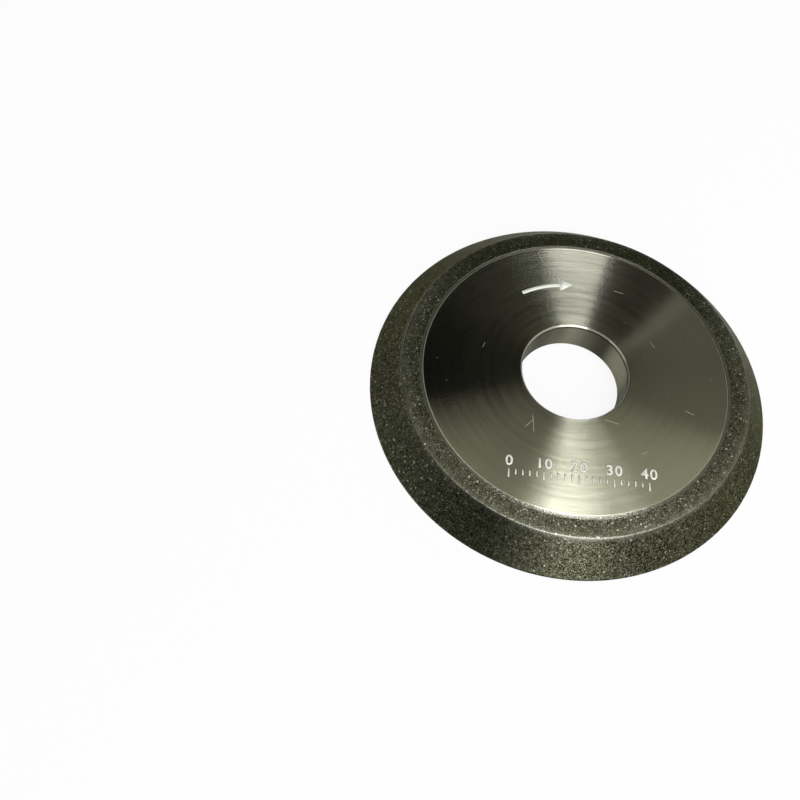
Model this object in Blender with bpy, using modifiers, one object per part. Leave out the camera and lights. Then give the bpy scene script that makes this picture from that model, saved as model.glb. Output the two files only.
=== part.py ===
"""Diamond grinding wheel with a 45 degree bevelled rim.

A turned steel core carries two moulded layers on a conical seat: a thin backing layer without
diamond, and the resin-bond diamond layer that does the grinding. The wheel lies on its back face,
the bore's axis is Z, and Z = 0 is the back face. Lengths are in metres.
"""

from math import cos, pi, radians, sin, tan

import bpy

# Wheel
OUTER_DIAMETER = 0.124
THICKNESS = 0.010
BEVEL_ANGLE = radians(45)         # between the front face and the bevel
RIM_LAND = 0.0004                 # narrow cylinder left below the bevel, at the largest diameter
RIDGE_RADIUS = 0.0003             # rounding between the front face and the bevel

# Moulded layers, each measured square to the conical seat
DIAMOND_DEPTH = 0.0032
BACKING_DEPTH = 0.0006
BOND_GAP = 0.0003                 # clearance left for the bond on each side of the backing layer

# Core
BORE_DIAMETER = 0.032
BORE_CHAMFER = 0.0005
CORE_EDGE_CHAMFER = 0.00025       # broken edge of the front face, beside the layers
SEAT_LAND = 0.0008                # cylinder below the cone, so that the core has no feather edge

# Dovetail grooves turned into the seat, which key the moulded layers
GROOVE_COUNT = 3
GROOVE_WIDTH = 0.0020             # at the mouth
GROOVE_DEPTH = 0.0007
GROOVE_FLANK_ANGLE = radians(15)  # undercut of each flank

# Relief on the back face, between the hub seat and the rim seat
HUB_DIAMETER = 0.053
HUB_CHAMFER = 0.0003
RIM_SEAT_WIDTH = 0.0075
RELIEF_DEPTH = 0.0008
RELIEF_CORNER_RADIUS = 0.0004

# Facets
TURN_STEPS = 96
ARC_STEPS = 3
SHARP_ANGLE = radians(35)

# Worked out from the sizes above
OUTER_RADIUS = OUTER_DIAMETER / 2
BORE_RADIUS = BORE_DIAMETER / 2
HUB_RADIUS = HUB_DIAMETER / 2
FRONT_RADIUS = OUTER_RADIUS - (THICKNESS - RIM_LAND) / tan(BEVEL_ANGLE)
LAYERS_DEPTH = DIAMOND_DEPTH + BACKING_DEPTH + 2 * BOND_GAP
SEAT_FRONT_RADIUS = FRONT_RADIUS - LAYERS_DEPTH / sin(BEVEL_ANGLE)
SEAT_LENGTH = (THICKNESS - SEAT_LAND) / sin(BEVEL_ANGLE)
SEAT_BACK_RADIUS = SEAT_FRONT_RADIUS + SEAT_LENGTH * cos(BEVEL_ANGLE)
RELIEF_OUTER_RADIUS = SEAT_BACK_RADIUS - RIM_SEAT_WIDTH


def arc(centre, radius, start, end):
    """Points of an arc in the (radius, height) plane, both ends included."""
    angles = [start + (end - start) * step / ARC_STEPS for step in range(ARC_STEPS + 1)]
    return [(centre[0] + radius * cos(angle), centre[1] + radius * sin(angle)) for angle in angles]


def seat_point(along, out):
    """A point by its distance down the conical seat from the front face, and out from the seat."""
    return (SEAT_FRONT_RADIUS + along * cos(BEVEL_ANGLE) + out * sin(BEVEL_ANGLE),
            THICKNESS - along * sin(BEVEL_ANGLE) + out * cos(BEVEL_ANGLE))


def layer_line(depth):
    """Front, corner and back points of the surface that lies a depth outside the seat."""
    front_radius = SEAT_FRONT_RADIUS + depth / sin(BEVEL_ANGLE)
    back_radius = SEAT_BACK_RADIUS + depth
    corner_height = THICKNESS - (back_radius - front_radius) * tan(BEVEL_ANGLE)
    return [(front_radius, THICKNESS), (back_radius, corner_height), (back_radius, 0)]


def groove_points(inset):
    """The dovetail grooves, from front to back. An inset draws the tongues that fill them."""
    points = []
    for index in range(GROOVE_COUNT):
        middle = SEAT_LENGTH * (index + 0.5) / GROOVE_COUNT
        floor = inset - GROOVE_DEPTH
        half_mouth, half_floor = [
            GROOVE_WIDTH / 2 - out * tan(GROOVE_FLANK_ANGLE) - inset / cos(GROOVE_FLANK_ANGLE)
            for out in (inset, floor)
        ]
        points += [seat_point(middle - half_mouth, inset), seat_point(middle - half_floor, floor),
                   seat_point(middle + half_floor, floor), seat_point(middle + half_mouth, inset)]
    return points


def back_face_points():
    """The core's back face from the rim seat inwards, over the relief, to the hub seat."""
    corner = RELIEF_CORNER_RADIUS
    centre_height = RELIEF_DEPTH - corner
    outer_corner = arc((RELIEF_OUTER_RADIUS - corner, centre_height), corner, 0, pi / 2)
    inner_corner = arc((HUB_RADIUS + corner, centre_height), corner, pi / 2, pi)
    return [(SEAT_BACK_RADIUS, 0), (RELIEF_OUTER_RADIUS, 0), *outer_corner, *inner_corner,
            (HUB_RADIUS, HUB_CHAMFER), (HUB_RADIUS - HUB_CHAMFER, 0)]


def bore_points():
    """The bore from the back face to the front face, with a chamfer at each end."""
    return [(BORE_RADIUS + BORE_CHAMFER, 0), (BORE_RADIUS, BORE_CHAMFER),
            (BORE_RADIUS, THICKNESS - BORE_CHAMFER), (BORE_RADIUS + BORE_CHAMFER, THICKNESS)]


def core_profile():
    """The steel core: front edge, grooved seat, back face and bore."""
    front_edge = [(SEAT_FRONT_RADIUS - CORE_EDGE_CHAMFER, THICKNESS), seat_point(CORE_EDGE_CHAMFER, 0)]
    return [*front_edge, *groove_points(0), layer_line(0)[1], *back_face_points(), *bore_points()]


def backing_profile():
    """The backing layer: a plain outer cone, and tongues that fill the seat's grooves."""
    inner_front, inner_corner, inner_back = layer_line(BOND_GAP)
    outer = layer_line(BOND_GAP + BACKING_DEPTH)
    return [*outer, inner_back, inner_corner, *reversed(groove_points(BOND_GAP)), inner_front]


def ridge_points():
    """The rounding between the front face and the bevel."""
    setback = RIDGE_RADIUS * tan(BEVEL_ANGLE / 2)
    centre = (FRONT_RADIUS - setback, THICKNESS - RIDGE_RADIUS)
    return arc(centre, RIDGE_RADIUS, pi / 2, pi / 2 - BEVEL_ANGLE)


def abrasive_profile():
    """The diamond layer: flat front, ridge, bevel and rim land outside, plain cone inside."""
    inner = layer_line(LAYERS_DEPTH - DIAMOND_DEPTH)
    rim = [(OUTER_RADIUS, RIM_LAND), (OUTER_RADIUS, 0)]
    return [*ridge_points(), *rim, *reversed(inner)]


def make_material(name, colour, roughness, metallic):
    material = bpy.data.materials.new(name)
    material.use_nodes = True
    material.diffuse_color = (*colour, 1)
    shader = material.node_tree.nodes["Principled BSDF"]
    shader.inputs["Base Color"].default_value = (*colour, 1)
    shader.inputs["Roughness"].default_value = roughness
    shader.inputs["Metallic"].default_value = metallic
    return material


def turn_profile(name, profile, material, collection):
    """Turn a closed (radius, height) profile round the bore's axis."""
    points = [(radius, 0, height) for radius, height in profile]
    edges = [(index, (index + 1) % len(points)) for index in range(len(points))]
    mesh = bpy.data.meshes.new(name)
    mesh.from_pydata(points, edges, [])
    mesh.materials.append(material)
    piece = bpy.data.objects.new(name, mesh)
    collection.objects.link(piece)
    screw = piece.modifiers.new("Turn", "SCREW")
    screw.steps = TURN_STEPS
    screw.render_steps = TURN_STEPS
    screw.use_merge_vertices = True
    screw.merge_threshold = 0.00001
    return piece


def shade_round(piece):
    """Keep the turned result as the piece's mesh: smooth round the axis, sharp at turned edges."""
    turned = piece.evaluated_get(bpy.context.evaluated_depsgraph_get())
    piece.data = bpy.data.meshes.new_from_object(turned)
    piece.modifiers.clear()
    piece.data.shade_smooth()
    piece.data.set_sharp_from_angle(angle=SHARP_ANGLE)


def clear_scene():
    for item in list(bpy.data.objects):
        bpy.data.objects.remove(item, do_unlink=True)


def main():
    clear_scene()
    wheel = bpy.data.collections.new("diamond_grinding_wheel")
    bpy.context.scene.collection.children.link(wheel)
    steel = make_material("turned_steel", (0.42, 0.41, 0.36), 0.28, 1.0)
    backing = make_material("resin_backing", (0.16, 0.16, 0.12), 0.55, 0.0)
    diamond = make_material("resin_diamond", (0.06, 0.06, 0.045), 0.75, 0.0)
    pieces = [
        turn_profile("core", core_profile(), steel, wheel),
        turn_profile("backing_ring", backing_profile(), backing, wheel),
        turn_profile("abrasive_ring", abrasive_profile(), diamond, wheel),
    ]
    for piece in pieces:
        shade_round(piece)


main()
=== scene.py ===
# %% [markdown]
# # A bevelled diamond grinding wheel
#
# This lesson dresses a diamond grinding wheel: a steel disc turned on a lathe, with a band of
# diamond grit in resin moulded round its rim. The solids come from the part's own CAD model. Here
# they get the surfaces that make them look real: the fine rings that a lathe leaves in steel, the
# grain of the diamond layer, worn edges, and the light that shows them.

# %% Load the model and measure it
import math

import bmesh
import bpy
from mathutils import Matrix, Vector, noise


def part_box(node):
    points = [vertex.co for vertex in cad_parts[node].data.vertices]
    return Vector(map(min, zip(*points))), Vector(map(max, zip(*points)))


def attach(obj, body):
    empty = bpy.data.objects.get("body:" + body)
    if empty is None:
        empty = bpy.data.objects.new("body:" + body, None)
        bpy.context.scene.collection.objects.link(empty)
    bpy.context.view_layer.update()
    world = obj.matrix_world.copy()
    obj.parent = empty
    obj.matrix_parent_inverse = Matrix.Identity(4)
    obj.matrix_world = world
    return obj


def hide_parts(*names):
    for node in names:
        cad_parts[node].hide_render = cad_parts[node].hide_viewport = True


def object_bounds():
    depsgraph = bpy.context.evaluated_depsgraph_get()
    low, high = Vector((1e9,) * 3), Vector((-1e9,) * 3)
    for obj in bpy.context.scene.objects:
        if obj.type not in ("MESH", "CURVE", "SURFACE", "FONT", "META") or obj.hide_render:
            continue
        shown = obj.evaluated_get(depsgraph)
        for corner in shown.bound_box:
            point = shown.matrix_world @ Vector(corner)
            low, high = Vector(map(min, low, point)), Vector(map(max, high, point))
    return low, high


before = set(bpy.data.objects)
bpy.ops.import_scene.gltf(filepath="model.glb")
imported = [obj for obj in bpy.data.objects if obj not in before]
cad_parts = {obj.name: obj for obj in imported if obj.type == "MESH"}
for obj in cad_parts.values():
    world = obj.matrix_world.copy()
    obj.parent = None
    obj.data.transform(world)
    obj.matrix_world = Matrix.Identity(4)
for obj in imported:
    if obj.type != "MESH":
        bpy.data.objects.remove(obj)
cad_low, cad_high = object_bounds()
print("wheel:", [round(side * 1000, 2) for side in cad_high - cad_low], "mm")

# %% [markdown]
# ## Sizes
#
# Every size below is in metres. The outside sizes are read from the model. The small ones, such as
# a chamfer or the width of the hub, can't be read from a box, so they are named here once and all
# three pieces are drawn from them. The steel face lies a hair below the layers, by FACE_SINK, which
# also leaves room for the marks on it.

# %% Name the sizes
MM = 0.001
THICKNESS = cad_high.z
OUTER_RADIUS = cad_high.x
CORE_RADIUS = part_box("core")[1].x
BACKING_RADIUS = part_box("backing_ring")[1].x

BEVEL_ANGLE = math.radians(45)
RIM_LAND = 0.4 * MM
RIDGE_RADIUS = 0.35 * MM
BORE_RADIUS = 16 * MM
BORE_CHAMFER = 0.5 * MM
SEAT_LAND = 0.8 * MM
JOINT = 0.02 * MM
HUB_RADIUS = 26.5 * MM
HUB_CHAMFER = 0.3 * MM
RIM_SEAT_WIDTH = 7.5 * MM
RELIEF_DEPTH = 0.8 * MM
RELIEF_CORNER = 0.4 * MM
FACE_SINK = 0.02 * MM
FACE_HEIGHT = THICKNESS - FACE_SINK

CONE_RUN = (THICKNESS - SEAT_LAND) / math.tan(BEVEL_ANGLE)
RIDGE_AT = OUTER_RADIUS - (THICKNESS - RIM_LAND) / math.tan(BEVEL_ANGLE)
FACE_RADIUS = CORE_RADIUS - CONE_RUN
BAND_RADIUS = BACKING_RADIUS - CONE_RUN
print("steel face radius:", round(FACE_RADIUS / MM, 2), "mm")
print("backing band, outer radius:", round(BAND_RADIUS / MM, 2), "mm")

# %% [markdown]
# ## Turning a section
#
# Everything here is made on a lathe or pressed in a round mould, so every piece is one section
# swept round the axis. In Blender that is a wire of vertices in the XZ plane and one spin. The spin
# closes on itself with use_merge. A real edge is never perfectly sharp, so each turned edge is then
# bevelled by a twentieth of a millimetre: that hair-thin facet is what catches the light.
#
# Smooth shading blends the normals of neighbouring faces. On a long flat side that would bend the
# reflection all the way across, so each long side gets an extra point close to both of its ends.

# %% Spin a closed section into a piece
STEEL_STEPS = 360
EDGE_BREAK = 0.05 * MM
SHARP_EDGE = math.radians(25)
SUPPORT = 0.25 * MM
LONG_SIDE = 6 * SUPPORT


def supported(section):
    """The closed section with an extra point near both ends of every long side."""
    result = []
    for index, point in enumerate(section):
        start, end = Vector(point), Vector(section[(index + 1) % len(section)])
        result.append(point)
        if (end - start).length > LONG_SIDE:
            reach = (end - start).normalized() * SUPPORT
            result += [tuple(start + reach), tuple(end - reach)]
    return result


def spin_section(section, steps):
    """Spin a closed list of (radius, height) points round Z and return the bmesh."""
    bm = bmesh.new()
    verts = [bm.verts.new((radius, 0, height)) for radius, height in section]
    edges = [bm.edges.new((vert, verts[index - 1])) for index, vert in enumerate(verts)]
    bmesh.ops.spin(bm, geom=verts + edges, axis=(0, 0, 1), cent=(0, 0, 0),
                   steps=steps, angle=math.tau, use_merge=True)
    bmesh.ops.recalc_face_normals(bm, faces=bm.faces)
    return bm


def break_edges(bm, width):
    """Bevel every edge that is sharper than SHARP_EDGE."""
    sharp = [edge for edge in bm.edges if edge.calc_face_angle(0) > SHARP_EDGE]
    bmesh.ops.bevel(bm, geom=sharp, offset=width, segments=2, profile=0.5,
                    affect="EDGES", material=-1)


def finish_piece(name, bm, *nodes):
    """Turn the bmesh into a smooth object, which may stand for nodes of the model."""
    mesh = bpy.data.meshes.new(name)
    bm.to_mesh(mesh)
    bm.free()
    mesh.shade_smooth()
    piece = bpy.data.objects.new(name, mesh)
    bpy.context.scene.collection.objects.link(piece)
    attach(piece, "root")
    if nodes:
        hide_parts(*nodes)
    mesh.calc_loop_triangles()
    print(name, len(mesh.loop_triangles), "triangles")
    return piece


def corner(centre, radius, start, end, steps=6):
    """Points of a rounded corner, angles in degrees."""
    points = []
    for step in range(steps + 1):
        angle = math.radians(start + (end - start) * step / steps)
        points.append((centre[0] + radius * math.cos(angle), centre[1] + radius * math.sin(angle)))
    return points


# %% [markdown]
# ## The steel core
#
# The core is a plain disc from the front: one flat face from the bore to the moulded layers. Its
# rim slopes outwards to the back, because the layers sit on a cone. The back is relieved between
# the hub and the rim, so that only two flat rings touch the machine's flange. The front edge has
# been dressed together with the layers, so it rolls over softly and shows as a thin bright line.
# All of that is one section, and the spin makes it round.

# %% Turn the core
EDGE_ROLL = 0.28 * MM
# Points of the rolled edge: out from the face's radius and down from the face, in shares of EDGE_ROLL
ROLLED_EDGE = ((-1, 0), (-0.55, 0.07), (-0.22, 0.22), (0.05, 0.48))


def core_section():
    """The core's closed section, from the rolled front edge round the back to the bore."""
    relief_outer = CORE_RADIUS - RIM_SEAT_WIDTH
    height = RELIEF_DEPTH - RELIEF_CORNER
    return [
        *[(FACE_RADIUS + out * EDGE_ROLL, FACE_HEIGHT - down * EDGE_ROLL) for out, down in ROLLED_EDGE],
        (CORE_RADIUS, SEAT_LAND),
        (CORE_RADIUS, 0),
        (relief_outer, 0),
        *corner((relief_outer - RELIEF_CORNER, height), RELIEF_CORNER, 0, 90),
        *corner((HUB_RADIUS + RELIEF_CORNER, height), RELIEF_CORNER, 90, 180),
        (HUB_RADIUS, HUB_CHAMFER),
        (HUB_RADIUS - HUB_CHAMFER, 0),
        (BORE_RADIUS + BORE_CHAMFER, 0),
        (BORE_RADIUS, BORE_CHAMFER),
        (BORE_RADIUS, FACE_HEIGHT - BORE_CHAMFER),
        (BORE_RADIUS + BORE_CHAMFER, FACE_HEIGHT),
    ]


bm = spin_section(supported(core_section()), STEEL_STEPS)
break_edges(bm, EDGE_BREAK)
core = finish_piece("steel_core", bm, "core")

# %% [markdown]
# ## The moulded layers
#
# Both layers are granular, so their surface is never quite even. A bump map would only shade that,
# and the rim's outline would stay a clean line. A fine mesh lets the real surface carry it: the
# exposed part of each section is divided into steps of a few tenths of a millimetre, and every
# vertex then sinks a little by a noise. Nothing is pushed outwards, so the wheel keeps its size.
#
# The corners at a joint stay where they are. A support point close beside each one keeps the
# shading of the front from bending round into the joint.

# %% Divide a section and roughen its surface
RING_STEPS = 840
GRAIN_STEP = 0.42 * MM
GRAIN_SIZE = 0.75 * MM
LUMP_SIZE = 4.0 * MM
LUMP_SHARE = 0.25
CORNER_SUPPORT = 0.03 * MM
CLEAR_INSIDE, CLEAR_OUTSIDE = 0.1 * MM, 0.01 * MM


def divided(points, spacing):
    """Points at an even spacing along an open line, both ends included."""
    result = [points[0]]
    for start, end in zip(points, points[1:]):
        start, end = Vector(start), Vector(end)
        count = max(1, round((end - start).length / spacing))
        result += [tuple(start.lerp(end, step / count)) for step in range(1, count + 1)]
    return result


def roughen(bm, depth, exposed):
    """Sink the exposed vertices along their normals by fine grain and broad lumps."""
    bm.normal_update()
    moves = []
    for vert in bm.verts:
        if exposed(vert.co):
            grain = 0.5 + 0.5 * noise.noise(vert.co / GRAIN_SIZE)
            lump = 0.5 + 0.5 * noise.noise(vert.co / LUMP_SIZE)
            sink = (1 - LUMP_SHARE) * grain + LUMP_SHARE * lump
            moves.append((vert, vert.normal * depth * sink))
    for vert, move in moves:
        vert.co -= move


def on_outside(inner_radius_at_back, outer_radius_at_back=math.inf):
    """True for a point clear of the cones that hold the layer, where it may be seen."""
    def test(point):
        radius = math.hypot(point.x, point.y)
        run = max(0, point.z - SEAT_LAND) / math.tan(BEVEL_ANGLE)
        inner, outer = inner_radius_at_back - run, outer_radius_at_back - run
        return inner + CLEAR_INSIDE < radius < outer - CLEAR_OUTSIDE
    return test


# %% Turn the backing band
BAND_GRAIN_DEPTH = 0.06 * MM
band_inner = CORE_RADIUS + JOINT
band_inner_front = band_inner - CONE_RUN
front_radii = (band_inner_front, band_inner_front + CORNER_SUPPORT,
               BAND_RADIUS - CORNER_SUPPORT, BAND_RADIUS)
band_front = divided([(radius, THICKNESS) for radius in front_radii], GRAIN_STEP / 2)
band_back = divided([(BACKING_RADIUS, 0), (band_inner, 0)], GRAIN_STEP)
bm = spin_section([*band_front, (BACKING_RADIUS, SEAT_LAND), *band_back, (band_inner, SEAT_LAND)],
                  RING_STEPS)
roughen(bm, BAND_GRAIN_DEPTH, on_outside(band_inner, BACKING_RADIUS))
band = finish_piece("backing_band", bm, "backing_ring")

# %% Turn the diamond layer
LAYER_GRAIN_DEPTH = 0.07 * MM
layer_inner = BACKING_RADIUS + JOINT
setback = RIDGE_RADIUS * math.tan(BEVEL_ANGLE / 2)
ridge = corner((RIDGE_AT - setback, THICKNESS - RIDGE_RADIUS), RIDGE_RADIUS, 90, 45, 3)
rim = [*ridge, (OUTER_RADIUS, RIM_LAND), (OUTER_RADIUS, 0)]
front = [(layer_inner - CONE_RUN, THICKNESS), (layer_inner - CONE_RUN + CORNER_SUPPORT, THICKNESS)]
outside = divided([*front, *rim, (layer_inner, 0)], GRAIN_STEP)
bm = spin_section([*outside, (layer_inner, SEAT_LAND)], RING_STEPS)
roughen(bm, LAYER_GRAIN_DEPTH, on_outside(layer_inner))
layer = finish_piece("diamond_layer", bm, "abrasive_ring")

# %% [markdown]
# ## Etched marks
#
# Wheels are etched on the face with a laser. The marks here are only generic ones: an arrow for the
# way the wheel turns, and a plain scale in millimetres. A laser takes away nothing that the eye
# could measure, so each mark is a skin a few thousandths of a millimetre thick. That keeps the
# marks crisp from close by, where a painted texture would blur.
#
# The arrow is an edge spun through a small angle, with a triangle for its head.

# %% Etch the arrow
MARK_DEPTH = 0.008 * MM
ARROW_RADIUS = 31.5 * MM
ARROW_WIDTH = 1.2 * MM
ARROW_HEAD = (2.2 * MM, 4.4 * MM)
ARROW_SWEEP = math.radians(23)
ARROW_PLACE = math.radians(99)
ARROW_STEPS = 24


def etched_arrow():
    """A curved arrow that starts on the X axis and points clockwise, then is turned to its place."""
    bm = bmesh.new()
    inner, outer = ARROW_RADIUS - ARROW_WIDTH / 2, ARROW_RADIUS + ARROW_WIDTH / 2
    edge = [bm.verts.new((radius, 0, 0)) for radius in (inner, outer)]
    bm.edges.new(edge)
    bmesh.ops.spin(bm, geom=bm.verts[:] + bm.edges[:], axis=(0, 0, 1), cent=(0, 0, 0),
                   steps=ARROW_STEPS, angle=ARROW_SWEEP)
    half_width, length = ARROW_HEAD
    head = [bm.verts.new((ARROW_RADIUS + side * half_width, -ahead * length, 0))
            for side, ahead in ((-1, 0), (1, 0), (0, 1))]
    bmesh.ops.contextual_create(bm, geom=head)
    place = Matrix.Rotation(ARROW_PLACE, 4, "Z") @ Matrix.Translation((0, 0, FACE_HEIGHT))
    bmesh.ops.transform(bm, verts=bm.verts, matrix=place)
    for face in bm.faces:
        face.normal_update()
        if face.normal.z < 0:
            face.normal_flip()
    walls = bmesh.ops.extrude_face_region(bm, geom=bm.faces[:])
    top = [item for item in walls["geom"] if isinstance(item, bmesh.types.BMVert)]
    bmesh.ops.translate(bm, verts=top, vec=(0, 0, MARK_DEPTH / 2))
    bmesh.ops.recalc_face_normals(bm, faces=bm.faces)
    return bm


arrow = finish_piece("etched_arrow", etched_arrow())

# %% [markdown]
# The scale's ticks are flat boxes, and each number is a text object made into a mesh. The heat of
# the laser leaves a dark rim round every stroke. It is the same scale once more, with bolder
# strokes and half the thickness, so that it shows only as a rim.

# %% Etch the scale and its burnt rim
SCALE_LENGTH = 40
TICK_EVERY, NUMBER_EVERY = 2, 10
SCALE_MIDDLE = 1.0 * MM
DIGITS_FOOT = -32.9 * MM
TICKS_HEAD = -34.1 * MM
LONG_TICK, SHORT_TICK = 2.4 * MM, 1.5 * MM
TICK_WIDTH = 0.22 * MM
DIGIT_HEIGHT = 3.1 * MM
DIGIT_SHARE = 0.70
STROKE_SPREAD, BURN_SPREAD = 0.08 * MM, 0.16 * MM
WELD = 0.0005 * MM


def etched_number(bm, number, place, spread, depth):
    """Add a number to the bmesh, as a skin of this depth. The spread makes every stroke bolder."""
    curve = bpy.data.curves.new("number", "FONT")
    curve.body = str(number)
    curve.align_x = "CENTER"
    curve.size = DIGIT_HEIGHT / DIGIT_SHARE
    curve.space_character = 1.15
    curve.extrude = depth / 2
    curve.offset = spread
    curve.resolution_u = 4
    text = bpy.data.objects.new("number", curve)
    bpy.context.scene.collection.objects.link(text)
    mesh = bpy.data.meshes.new_from_object(text.evaluated_get(bpy.context.evaluated_depsgraph_get()))
    bpy.data.objects.remove(text)
    mesh.transform(Matrix.Translation(place))
    bm.from_mesh(mesh)


def etched_scale(spread, depth):
    """A plain scale: a tick at every second millimetre, and a number over each long one."""
    bm = bmesh.new()
    for step in range(0, SCALE_LENGTH + 1, TICK_EVERY):
        x = SCALE_MIDDLE + (step - SCALE_LENGTH / 2) * MM
        length = SHORT_TICK
        if step % NUMBER_EVERY == 0:
            etched_number(bm, step, (x, DIGITS_FOOT, FACE_HEIGHT), spread, depth)
            length = LONG_TICK
        tick = bmesh.ops.create_cube(bm, size=1)["verts"]
        bmesh.ops.scale(bm, verts=tick, vec=(TICK_WIDTH + 2 * spread, length + 2 * spread, depth))
        bmesh.ops.translate(bm, verts=tick, vec=(x, TICKS_HEAD - length / 2, FACE_HEIGHT))
    bmesh.ops.remove_doubles(bm, verts=bm.verts, dist=WELD)
    bmesh.ops.dissolve_degenerate(bm, edges=bm.edges, dist=WELD)
    bmesh.ops.recalc_face_normals(bm, faces=bm.faces)
    return bm


scale = finish_piece("etched_scale", etched_scale(STROKE_SPREAD, MARK_DEPTH))
burn = finish_piece("etched_burn", etched_scale(BURN_SPREAD, MARK_DEPTH / 2))

# %% [markdown]
# ## Shader maths in plain Python
#
# A finish is a small formula over the surface. Written as nodes it becomes a long tangle, so this
# class wraps one socket and lets Python's own operators add the Math nodes. Any other node comes
# from add_node, which takes its type, its settings and the values or links of its sockets.

# %% Wrap a socket so that operators add nodes
class Signal:
    """A value in a node tree. Arithmetic on it adds Math nodes."""

    def __init__(self, tree, socket):
        self.tree = tree
        self.socket = socket

    def math(self, operation, *terms):
        """A Math node on these values and links."""
        return add_node(self.tree, "ShaderNodeMath", {"operation": operation}, dict(enumerate(terms)))

    def __add__(self, other):
        return self.math("ADD", self, other)

    def __radd__(self, other):
        return self.math("ADD", other, self)

    def __sub__(self, other):
        return self.math("SUBTRACT", self, other)

    def __rsub__(self, other):
        return self.math("SUBTRACT", other, self)

    def __mul__(self, other):
        return self.math("MULTIPLY", self, other)

    def __rmul__(self, other):
        return self.math("MULTIPLY", other, self)

    def __pow__(self, other):
        return self.math("POWER", self, other)

    def __abs__(self):
        return self.math("ABSOLUTE", self)

    def larger(self, other):
        return self.math("MAXIMUM", self, other)

    def ramp(self, low, high):
        """0 up to low, 1 from high on, and a smooth step between. High may be the smaller one."""
        return add_node(self.tree, "ShaderNodeMapRange", {"interpolation_type": "SMOOTHSTEP"},
                        {"Value": self, "From Min": low, "From Max": high})


def add_node(tree, kind, settings=None, inputs=None, output=0):
    """Add any node: its settings first, then a value or a link for each named socket."""
    node = tree.nodes.new(kind)
    for key, value in (settings or {}).items():
        setattr(node, key, value)
    for key, value in (inputs or {}).items():
        if isinstance(value, Signal):
            tree.links.new(value.socket, node.inputs[key])
        else:
            node.inputs[key].default_value = value
    return Signal(tree, node.outputs[output])


# %% Gather a material's shader and measures
class Finish:
    """A material with its Principled shader and the measures that its formulas use."""

    def __init__(self, name, **constants):
        self.material = bpy.data.materials.new(name)
        self.material.use_nodes = True
        self.tree = self.material.node_tree
        self.shader = self.tree.nodes["Principled BSDF"]
        for socket, value in constants.items():
            self.shader.inputs[socket.replace("_", " ")].default_value = value
        self.place = self.node("ShaderNodeTexCoord", output="Object")
        self.x, self.y, self.z = [
            self.node("ShaderNodeSeparateXYZ", {}, {0: self.place}, axis) for axis in range(3)]
        self.radius = (self.x * self.x + self.y * self.y) ** 0.5

    def node(self, kind, settings=None, inputs=None, output=0):
        """Any node, in this material."""
        return add_node(self.tree, kind, settings, inputs, output)

    def blend(self, mask, low, high):
        """A colour that goes from low to high with the mask."""
        return self.node("ShaderNodeMix", {"data_type": "RGBA"}, {0: mask, 6: low, 7: high}, 2)

    def noise(self, size, detail, vector=None, output=0):
        """Noise of the given size in metres, from 0 to 1. Output 1 has another noise in each channel."""
        return self.node("ShaderNodeTexNoise", {}, {
            "Vector": vector or self.place, "Scale": 1 / size, "Detail": detail}, output)

    def grains(self, size, radius, share, vector=None):
        """Round grains in a share of the cells of the given size, radius as a part of the cell."""
        inputs = {"Vector": vector or self.place, "Scale": 1 / size}
        near = self.node("ShaderNodeTexVoronoi", {}, inputs).ramp(radius, radius * 0.4)
        colour = self.node("ShaderNodeTexVoronoi", {}, inputs, 1)
        pick = self.node("ShaderNodeSeparateColor", {}, {0: colour})
        return near * pick.ramp(1 - share, 1 - share * 0.4)

    def patch(self, x, y, reach, core):
        """A round patch with its centre at (x, y): 1 up to core from there, fading to 0 at reach."""
        across, away = self.x - x, self.y - y
        return ((across * across + away * away) ** 0.5).ramp(reach, core)

    def set(self, **links):
        """Link varying values to the shader's sockets."""
        for socket, value in links.items():
            self.tree.links.new(value.socket, self.shader.inputs[socket.replace("_", " ")])

    def bump(self, height, distance, strength=1.0):
        """A Normal from a height, of which 1 stands for the given distance in metres."""
        return self.node("ShaderNodeBump", {}, {
            "Height": height, "Distance": distance, "Strength": strength})

    def cover(self, mask, **constants):
        """Lay a second, plain shader over the first one where the mask is 1."""
        values = {socket.replace("_", " "): value for socket, value in constants.items()}
        self.mix_in(mask, self.node("ShaderNodeBsdfPrincipled", {}, values))

    def mix_in(self, mask, top):
        """Show another shader in place of the first one where the mask is 1."""
        first = Signal(self.tree, self.shader.outputs[0])
        mix = self.node("ShaderNodeMixShader", {}, {0: mask, 1: first, 2: top})
        self.tree.links.new(mix.socket, self.tree.nodes["Material Output"].inputs["Surface"])


def dress(piece, finish):
    """Give the piece its finish."""
    piece.data.materials.append(finish.material)
    print(piece.name, "wears", finish.material.name, "of", len(finish.tree.nodes), "nodes")


# %% [markdown]
# ## Turned steel
#
# A lathe leaves rings far finer than the eye resolves, and they spread a reflection across the
# grooves but not along them. That is what draws the bright fans that run from the bore to the rim
# of every turned disc. The shader does it with anisotropy. Its Tangent socket stays empty, because
# the tangent that Cycles then uses already runs round the object's Z axis, and a quarter turn of
# Anisotropic Rotation lays the spread across the grooves.
#
# Wider rings, where the tool cut a little deeper, are noise stretched round the axis. Handling has
# left a few short scratches and specks of dust, and both edges of the face are worn bright.

# %% Draw scratches, dust and worn edges
def scratch(finish, x, y, heading, length, bend, width):
    """1 along a short curved line on the face. Millimetres and degrees, bend in 1/mm."""
    turn = math.radians(heading)
    across, away = finish.x - x * MM, finish.y - y * MM
    along = across * math.cos(turn) + away * math.sin(turn)
    aside = away * math.cos(turn) - across * math.sin(turn) - along * along * (bend / MM)
    on_line = abs(aside).ramp(width * MM, 0.3 * width * MM)
    return on_line * abs(along).ramp(length * MM / 2, length * MM / 4)


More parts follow.
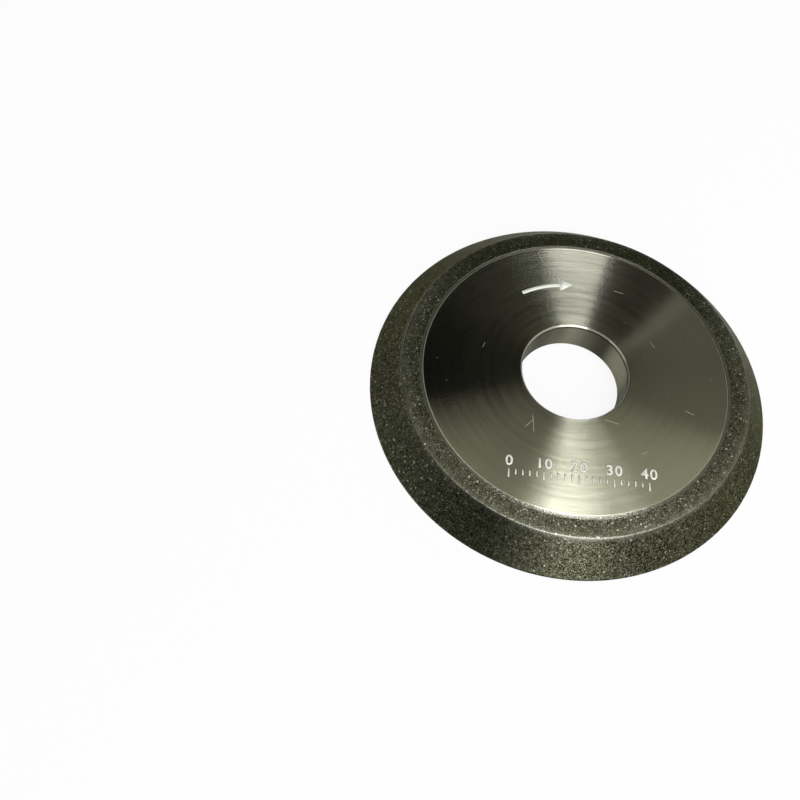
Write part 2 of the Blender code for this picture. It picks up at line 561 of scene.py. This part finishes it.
# Each scratch: x, y, heading, length, bend, width
SCRATCHES = (
    (-12.3, -19.0, 95, 7.0, 0.010, 0.12), (-13.6, -19.2, 48, 4.0, 0.0, 0.10),
    (10.8, -16.0, -14, 6.0, 0.020, 0.12), (34.0, -10.4, -24, 3.6, 0.030, 0.10),
    (14.0, 30.6, -14, 4.0, 0.0, 0.10), (24.0, 12.0, -55, 3.0, 0.020, 0.07),
    (-28.0, 6.0, 70, 2.6, 0.0, 0.07), (20.0, -25.0, 30, 3.0, 0.030, 0.08),
)


def steel_wear(steel):
    """1 where the steel is marked or worn: scratches and dust on the face, and its two edges."""
    marks = steel.grains(3.2 * MM, 0.05, 0.35)
    for line in SCRATCHES:
        marks = marks.larger(scratch(steel, *line))
    on_face = steel.z.ramp(FACE_HEIGHT - 0.05 * MM, FACE_HEIGHT - 0.02 * MM)
    mouth = BORE_RADIUS + BORE_CHAMFER
    chamfer = steel.radius.ramp(BORE_RADIUS + 0.05 * MM, BORE_RADIUS + 0.12 * MM)
    chamfer = chamfer * steel.radius.ramp(mouth + 0.05 * MM, mouth)
    rolled = steel.radius.ramp(FACE_RADIUS - 0.26 * MM, FACE_RADIUS - 0.14 * MM)
    rolled = rolled * steel.z.ramp(FACE_HEIGHT - 0.6 * MM, FACE_HEIGHT - 0.3 * MM)
    return (0.8 * marks * on_face).larger(0.45 * chamfer).larger(0.8 * rolled)


# %% [markdown]
# The bore was cut by a reamer, not by the lathe's tool, and noise streaks run down its wall. The
# wall is duller than the face, and painted shade keeps its tone darker. More painted shade darkens
# four broad lobes round the bore and the wall just below the mouth, under the chamfer, and a
# painted highlight brightens one side.

# %% Tone the bore
STREAK_STRETCH = 0.06
# Where the painted highlight falls round the bore, and how deep the painted shade below the mouth
# reaches.
HIGHLIGHT_SIDE = math.radians(20)
SHADE_DEPTH = 1.3 * MM


def bore_tone(steel):
    """The colour of the bore's wall: noise streaks, with painted shade and a painted highlight."""
    down_the_wall = steel.node("ShaderNodeCombineXYZ", {}, {
        0: steel.x, 1: steel.y, 2: steel.z * STREAK_STRETCH})
    streaks = steel.noise(7 * MM, 1, down_the_wall).ramp(0.30, 0.70)
    # The wall's tone is darker than the face's: painted shade of the bore.
    tone = steel.blend(streaks, (0.14, 0.137, 0.094, 1), (0.23, 0.226, 0.16, 1))
    # The sine of twice the angle round the bore. Its square draws four lobes of painted shade.
    shade_lobe = steel.x * steel.y * (2 / BORE_RADIUS ** 2)
    tone = steel.blend(0.8 * (shade_lobe * shade_lobe), tone, (0.045, 0.044, 0.03, 1))
    # A painted highlight on one side of the wall.
    towards_highlight = math.cos(HIGHLIGHT_SIDE) * steel.x + math.sin(HIGHLIGHT_SIDE) * steel.y
    painted_highlight = towards_highlight.ramp(0.87 * BORE_RADIUS, BORE_RADIUS)
    tone = steel.blend(0.7 * painted_highlight, tone, (0.42, 0.41, 0.30, 1))
    # Painted shade just below the mouth, under the chamfer.
    shade_below_mouth = steel.z.ramp(FACE_HEIGHT - SHADE_DEPTH, FACE_HEIGHT - BORE_CHAMFER - 0.1 * MM)
    return steel.blend(0.85 * shade_below_mouth, tone, (0.012, 0.012, 0.008, 1))


# %% Make the steel finish
RING_STRETCH = 0.035


def steel_finish():
    """Bright turned steel with rings, a duller bore and a few marks of use."""
    steel = Finish("turned_steel", Metallic=1.0, Anisotropic=1.0, Anisotropic_Rotation=0.25)
    round_axis = steel.node("ShaderNodeCombineXYZ", {}, {
        0: steel.radius, 1: steel.x * RING_STRETCH, 2: steel.y * RING_STRETCH})
    fine = steel.noise(0.30 * MM, 2, round_axis)
    broad = steel.noise(1.5 * MM, 2, round_axis)
    rings = (0.45 * fine + 0.55 * broad).ramp(0.30, 0.70)
    clouds = steel.noise(11 * MM, 3)
    face = steel.blend(0.5 * rings + 0.5 * clouds, (0.50, 0.495, 0.385, 1), (0.62, 0.615, 0.48, 1))
    in_bore = steel.radius.ramp(BORE_RADIUS + 0.12 * MM, BORE_RADIUS + 0.06 * MM)
    steel.set(Base_Color=steel.blend(in_bore, face, bore_tone(steel)))
    steel.set(Roughness=0.180 + 0.024 * (rings - 0.5) + 0.03 * (clouds - 0.5) + 0.18 * in_bore)
    steel.set(Normal=steel.bump(0.3 * fine + broad, 0.006 * MM))
    steel.cover(steel_wear(steel), Base_Color=(0.46, 0.46, 0.37, 1), Metallic=0.3, Roughness=0.5)
    return steel


dress(core, steel_finish())

# %% [markdown]
# ## Diamond in resin
#
# The layer is dark resin packed with diamond grit, and the grains that were cut when the wheel was
# dressed shine like tiny facets. So the finish is one dark ground with pale grains of three sizes
# and thin pale threads between them. A noise first pushes the pattern about a little, because
# plain cells look like tiles.

# %% Scatter the grit
def scatter_grit(grit):
    """The grains of three sizes, and the pale threads between them."""
    wander = grit.noise(0.4 * MM, 2, output=1)
    warped = grit.node("ShaderNodeVectorMath", {"operation": "MULTIPLY_ADD"}, {
        0: wander, 1: (0.22 * MM,) * 3, 2: grit.place})
    small = grit.grains(0.40 * MM, 0.42, 0.50, warped)
    middle = grit.grains(0.66 * MM, 0.40, 0.34, warped)
    large = grit.grains(1.30 * MM, 0.30, 0.26, warped)
    grains = (0.42 * small).larger(0.72 * middle).larger(large)
    threads = (1 - abs(2 * grit.noise(0.85 * MM, 2, warped) - 1)).ramp(0.86, 0.98)
    return grains, threads


# %% [markdown]
# The flat face was dressed hardest, so it is the lightest and the most metallic. Painted shade
# darkens the far side of the layer. The ridge is worn pale, because it touches everything first.
# A painted highlight brightens one patch of the bevel, and painted shade darkens another.

# %% Make the grit finish
# Two patches on the bevel: a painted highlight and a painted shade.
# Each patch: x and y of its middle, how far it reaches, and how far it is full
HIGHLIGHT_PATCH = (-49 * MM, -27 * MM, 26 * MM, 9 * MM)
SHADE_PATCH = (-19 * MM, -53 * MM, 21 * MM, 6 * MM)


def worn_ridge(grit):
    """1 on the ridge, ragged at its sides, with a faint and wider halo."""
    from_ridge = abs(grit.radius - RIDGE_AT)
    ragged = 0.5 + 0.8 * grit.noise(0.8 * MM, 2)
    return from_ridge.ramp(0.45 * MM, 0.10 * MM) * ragged + 0.35 * from_ridge.ramp(1.5 * MM, 0.2 * MM)


def grit_finish():
    """Dark resin with pale grit, lighter on the flat face, worn on the ridge, with painted shade and a
    painted highlight.
    """
    grit = Finish("diamond_resin", Specular_IOR_Level=0.25, Specular_Tint=(0.4, 0.4, 0.3, 1))
    grains, threads = scatter_grit(grit)
    worn = worn_ridge(grit)
    mottle = grit.noise(2.6 * MM, 3).ramp(0.35, 0.70)
    flat = grit.radius.ramp(RIDGE_AT + 0.2 * MM, RIDGE_AT - 0.1 * MM)
    outer_half = flat * grit.radius.ramp(BAND_RADIUS + 1.0 * MM, RIDGE_AT)
    painted_highlight = (1 - flat) * grit.patch(*HIGHLIGHT_PATCH)
    bevel_tone = grit.blend(mottle, (0.016, 0.016, 0.007, 1), (0.034, 0.034, 0.018, 1))
    flat_tone = grit.blend(mottle, (0.034, 0.034, 0.021, 1), (0.066, 0.066, 0.043, 1))
    ground = grit.blend(flat, bevel_tone, flat_tone)
    ground = grit.blend(0.40 * threads + 0.15 * outer_half, ground, (0.30, 0.30, 0.20, 1))
    ground = grit.blend(0.46 * worn, ground, (0.32, 0.32, 0.265, 1))
    # Painted highlight: one patch of the bevel has a lighter ground and lighter grains.
    ground = grit.blend(0.20 * painted_highlight, ground, (0.16, 0.16, 0.105, 1))
    grain_tone = grit.blend(flat.larger(0.9 * painted_highlight), (0.38, 0.38, 0.29, 1), (0.66, 0.66, 0.51, 1))
    colour = grit.blend(grains, ground, grain_tone)
    # Painted shade: the far side of the layer and one patch of the bevel are darker.
    far_side_shade = grit.y.ramp(0.30 * RIDGE_AT, 0.85 * RIDGE_AT)
    bevel_shade = (1 - flat) * grit.patch(*SHADE_PATCH)
    painted_shade = (far_side_shade * (0.35 + 0.35 * flat)).larger(0.6 * bevel_shade)
    grit.set(Base_Color=grit.blend(painted_shade, colour, (0.012, 0.012, 0.007, 1)))
    grit.set(Metallic=0.86 + 0.12 * flat)
    grit.set(Roughness=0.37 - 0.08 * worn + 0.06 * (mottle - 0.5))
    grit.set(Normal=grit.bump(threads + grains, 0.018 * MM, 0.7))
    return grit


dress(layer, grit_finish())

# %% [markdown]
# ## Backing powder
#
# The band between the steel and the diamond is powder pressed without diamond. It was turned with
# the steel, so its grains are bright and carry the same rings, but the pores between them stay
# dull. A dull shader covers the bright one everywhere but on the grains. On the near side of the
# band the cover thins out, as a painted highlight.

# %% Make the backing band's finish
def band_finish():
    """Bright grains in dull pores, with a painted highlight on the near side."""
    powder = Finish("backing_powder", Metallic=1.0, Anisotropic=0.9, Anisotropic_Rotation=0.25)
    grains = powder.grains(0.34 * MM, 0.55, 0.7)
    coarse = powder.noise(0.7 * MM, 2)
    powder.set(Base_Color=powder.blend(
        0.6 * grains + 0.4 * coarse, (0.13, 0.13, 0.095, 1), (0.85, 0.85, 0.70, 1)))
    powder.set(Roughness=0.26 + 0.1 * (coarse - 0.5))
    powder.set(Normal=powder.bump(grains + coarse, 0.02 * MM, 0.8))
    # Painted highlight: on the near side the dull cover thins, so the band shows bright.
    near_side_highlight = (-1 * powder.y).ramp(0.80 * FACE_RADIUS, 0.98 * FACE_RADIUS)
    dull = (1 - 0.6 * grains) * (1 - 0.85 * near_side_highlight)
    powder.cover(dull, Base_Color=(0.13, 0.13, 0.09, 1), Metallic=0.9, Roughness=0.37)
    return powder


dress(band, band_finish())

# %% [markdown]
# ## Etched and burnt steel
#
# Where a laser has melted the skin of the steel, it turns pale and matt. Round each stroke the heat
# has only tinted it brown. Both are plain finishes with a little noise in their tone.

# %% Make the etched and the burnt finish
def etched_finish():
    """Pale and matt, where the laser went."""
    etched = Finish("etched_steel")
    fleck = etched.noise(0.35 * MM, 2)
    etched.set(Base_Color=etched.blend(fleck, (0.76, 0.76, 0.66, 1), (0.93, 0.93, 0.83, 1)))
    etched.set(Roughness=0.5 + 0.2 * (fleck - 0.5))
    return etched


def burn_finish():
    """Dark brown, where the heat of the laser reached."""
    burnt = Finish("heat_tinted_steel", Metallic=0.6)
    tone = burnt.noise(0.5 * MM, 2)
    burnt.set(Base_Color=burnt.blend(tone, (0.10, 0.10, 0.075, 1), (0.22, 0.21, 0.15, 1)))
    burnt.set(Roughness=0.45 + 0.1 * (tone - 0.5))
    return burnt


for mark in (arrow, scale):
    dress(mark, etched_finish())
dress(burn, burn_finish())

# %% [markdown]
# ## Floor and room
#
# A wheel is shown on a white ground. Light alone would make that floor grey in the corners, so it
# glows for the rays that show it, and keeps a tenth of its real shading near the wheel as a faint
# shadow. The metal mirrors two fifths of the glow. The floor lies a hair below the wheel, because
# two faces at one height would fight. The world is white to the camera. To the metal it is a dark
# room with a white horizon.

# %% Make a pale floor
FLOOR_RADIUS = 1.5
FLOOR_DROP = 0.02 * MM
MIRRORED_GLOW = 0.4


def background_rays(tree, weight):
    """1 for a ray straight from the camera, and the weight for one that metal or glass sends on."""
    path = tree.nodes.new("ShaderNodeLightPath")
    seen = Signal(tree, path.outputs["Is Glossy Ray"])
    seen = seen.larger(Signal(tree, path.outputs["Is Transmission Ray"])) * weight
    return seen.larger(Signal(tree, path.outputs["Is Camera Ray"]))


def white_floor():
    """White paper for the rays that show it, with a faint shadow near the wheel."""
    paper = Finish("white_floor", Base_Color=(0.88, 0.88, 0.88, 1), Roughness=0.9)
    glow = paper.node("ShaderNodeEmission", {}, {"Strength": 1.0})
    distance = paper.node("ShaderNodeVectorMath", {"operation": "LENGTH"}, {0: paper.place}, "Value")
    share = background_rays(paper.tree, MIRRORED_GLOW) * (0.9 + 0.1 * distance.ramp(0.15, 0.6))
    paper.mix_in(share, glow)
    return paper


def make_floor():
    """A disc under the wheel, which is not part of it."""
    bm = bmesh.new()
    bmesh.ops.create_circle(bm, cap_ends=True, segments=64, radius=FLOOR_RADIUS)
    bmesh.ops.translate(bm, verts=bm.verts, vec=(0, 0, -FLOOR_DROP))
    mesh = bpy.data.meshes.new("floor")
    bm.to_mesh(mesh)
    bm.free()
    floor = bpy.data.objects.new("floor", mesh)
    bpy.context.scene.collection.objects.link(floor)
    return floor


dress(make_floor(), white_floor())

# %% Set the world
HORIZON_HEIGHT = 0.10
ROOM_LEVEL = 0.004


def make_world():
    """White to the camera, and to the metal a white horizon in a dark room."""
    world = bpy.data.worlds.new("studio")
    world.use_nodes = True
    bpy.context.scene.world = world
    tree = world.node_tree
    way = add_node(tree, "ShaderNodeTexCoord", output="Generated")
    height = add_node(tree, "ShaderNodeSeparateXYZ", {}, {0: way}, 2)
    path = tree.nodes.new("ShaderNodeLightPath")
    straight = Signal(tree, path.outputs["Is Camera Ray"])
    white = straight.larger(height.ramp(HORIZON_HEIGHT, 0.0) * background_rays(tree, 1.0))
    strength = white + (1 - white) * ROOM_LEVEL
    sky = tree.nodes["Background"]
    sky.inputs["Color"].default_value = (1, 1, 1, 1)
    tree.links.new(strength.socket, sky.inputs["Strength"])
    print("world:", world.name)


make_world()

# %% [markdown]
# ## Lamps
#
# Polished metal shows the room more than itself. A photographer lights it with a few soft boxes in
# a dark room, and each one becomes a streak on the steel. A soft box is an area lamp, long and
# narrow, hung between two points, and it always faces the wheel. Its level is a brightness and not
# a power, so that a lamp keeps its look on the steel when its size is changed: 1 is white.

# %% Hang the lamps
WARM = (1.0, 1.0, 0.84)
COOL = (0.99, 1.0, 1.05)
PLAIN = (1.0, 1.0, 1.0)


def hang_panel(name, start, end, width, level, colour):
    """A soft box that runs from start to end and faces the wheel."""
    start, end = Vector(start), Vector(end)
    middle, along = (start + end) / 2, (end - start).normalized()
    away = (middle - middle.dot(along) * along).normalized()
    data = bpy.data.lights.new(name, "AREA")
    data.shape = "RECTANGLE"
    data.size, data.size_y = width, (end - start).length
    data.energy = level * math.pi * data.size * data.size_y
    data.color = colour
    lamp = bpy.data.objects.new(name, data)
    turn = Matrix((along.cross(away), along, away)).transposed().to_4x4()
    lamp.matrix_world = Matrix.Translation(middle) @ turn
    bpy.context.scene.collection.objects.link(lamp)
    print(name, "is", round(width, 2), "by", round(data.size_y, 2), "m")


hang_panel("overhead_bar", (0.246, -0.484, 2.0), (0.606, 0.268, 2.0), 0.381, 7.4, COOL)
hang_panel("front_strip", (0.11, -1.07, 0.03), (0.40, 0.05, 1.31), 0.618, 3.1, COOL)
hang_panel("back_strip", (0.20, 0.80, 0.0), (0.20, 0.80, 0.60), 0.17, 5.4, COOL)
hang_panel("left_panel", (-0.66, -0.18, 0.425), (-0.42, 0.13, 1.165), 0.56, 0.68, WARM)
hang_panel("right_panel", (0.41, 0.37, 0.50), (0.29, 0.24, 1.62), 0.32, 0.18, WARM)
hang_panel("overhead", (0.90, -0.31, 0.0), (-0.40, 0.16, 1.126), 0.70, 0.33, WARM)
hang_panel("small_lamp", (0.28, 0.445, 0.59), (0.28, 0.47, 0.595), 0.03, 1.0, PLAIN)

# %% [markdown]
# ## Camera
#
# The camera stands close and looks steeply down, rolled a little about the way it looks. The shift
# slides the picture without tilting the lens, so the wheel keeps its perspective.

# %% Place the camera
LENS = 28.96
SHIFT_UP = 0.104
CAMERA_AT = (-0.04914, -0.10662, 0.17684)
LOOK_DOWN = math.radians(68.802)
ROLL = math.radians(5.863)


def place_camera():
    """A camera that looks along +Y and down, then rolls about the way it looks."""
    data = bpy.data.cameras.new("camera")
    data.sensor_width = 36
    data.lens = LENS
    data.shift_y = SHIFT_UP
    data.clip_start = 0.01
    camera = bpy.data.objects.new("camera", data)
    bpy.context.scene.collection.objects.link(camera)
    right, forward = Vector((1, 0, 0)), Vector((0, math.cos(LOOK_DOWN), -math.sin(LOOK_DOWN)))
    turn = Matrix((right, right.cross(forward), -forward)).transposed().to_4x4()
    camera.matrix_world = Matrix.Translation(CAMERA_AT) @ turn @ Matrix.Rotation(ROLL, 4, "Z")
    bpy.context.scene.camera = camera
    print("camera looks down by", round(math.degrees(LOOK_DOWN)), "degrees")


place_camera()

# %% Set the view transform
bpy.context.scene.view_settings.view_transform = "Standard"
